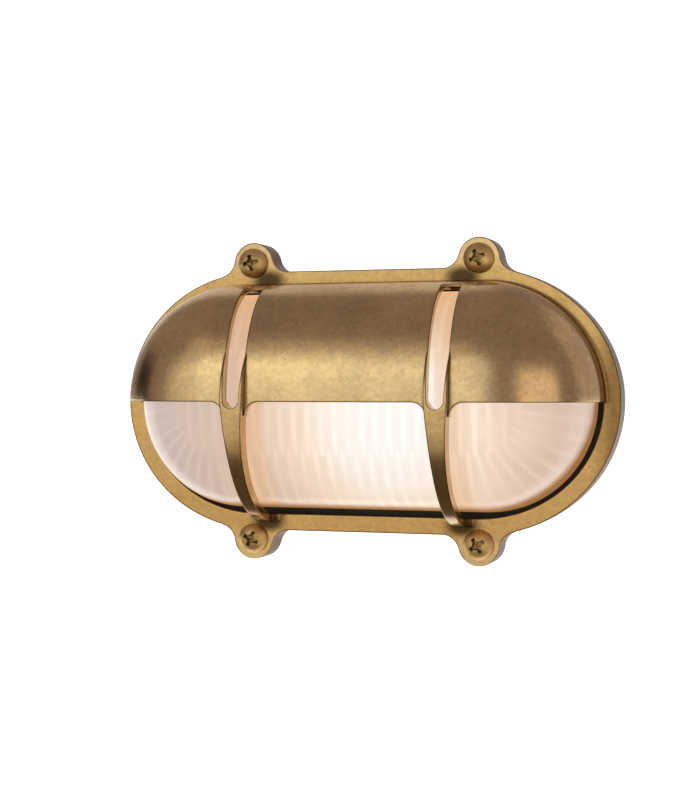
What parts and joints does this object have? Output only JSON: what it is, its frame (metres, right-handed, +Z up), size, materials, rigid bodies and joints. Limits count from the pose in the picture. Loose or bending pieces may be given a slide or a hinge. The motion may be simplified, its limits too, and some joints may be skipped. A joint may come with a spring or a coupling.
{
  "type": "bulkhead light",
  "caption": "Oval cast-brass bulkhead wall light with a slotted eyelid hood, guard bars, lugs and a fluted frosted glass over a capsule lamp.",
  "frame": {"origin": "centre of the back face of the base plate, on the wall", "axes": "+X along the light to its right as seen from the front, +Y into the wall, +Z up; the front faces -Y"},
  "size_m": [0.172, 0.0444, 0.108],
  "materials": {
    "cast_brass": "sand cast, tumbled and aged",
    "screw_brass": "turned, lightly tarnished",
    "frosted_glass": "pressed, fluted inside and acid frosted",
    "black_rubber": "moulded",
    "lamp_glass": "frosted bulb, lit",
    "ceramic": "unglazed steatite",
    "zinc_steel": "bright zinc plated",
    "terminal_plastic": "moulded nylon",
    "tinned_copper": "tinned",
    "brown_insulation": "silicone sleeve",
    "blue_insulation": "silicone sleeve",
    "green_insulation": "silicone sleeve"
  },
  "bodies": {
    "root": {"front_guard": "cast_brass", "guard_screws": "screw_brass", "glass": "frosted_glass", "glass_gasket": "black_rubber", "base_plate": "cast_brass", "cable_grommet": "black_rubber", "lamp": "lamp_glass", "lampholder": "ceramic", "holder_bracket": "zinc_steel", "bracket_screws": "zinc_steel", "holder_screws": "zinc_steel", "terminal_block": "terminal_plastic", "terminal_barrels": "screw_brass", "terminal_screws": "zinc_steel", "terminal_fixings": "zinc_steel", "earth_screw": "screw_brass", "earth_washer": "zinc_steel", "earth_tag": "tinned_copper", "live_wire": "brown_insulation", "neutral_wire": "blue_insulation", "earth_wire": "green_insulation"}
  },
  "joints": []
}
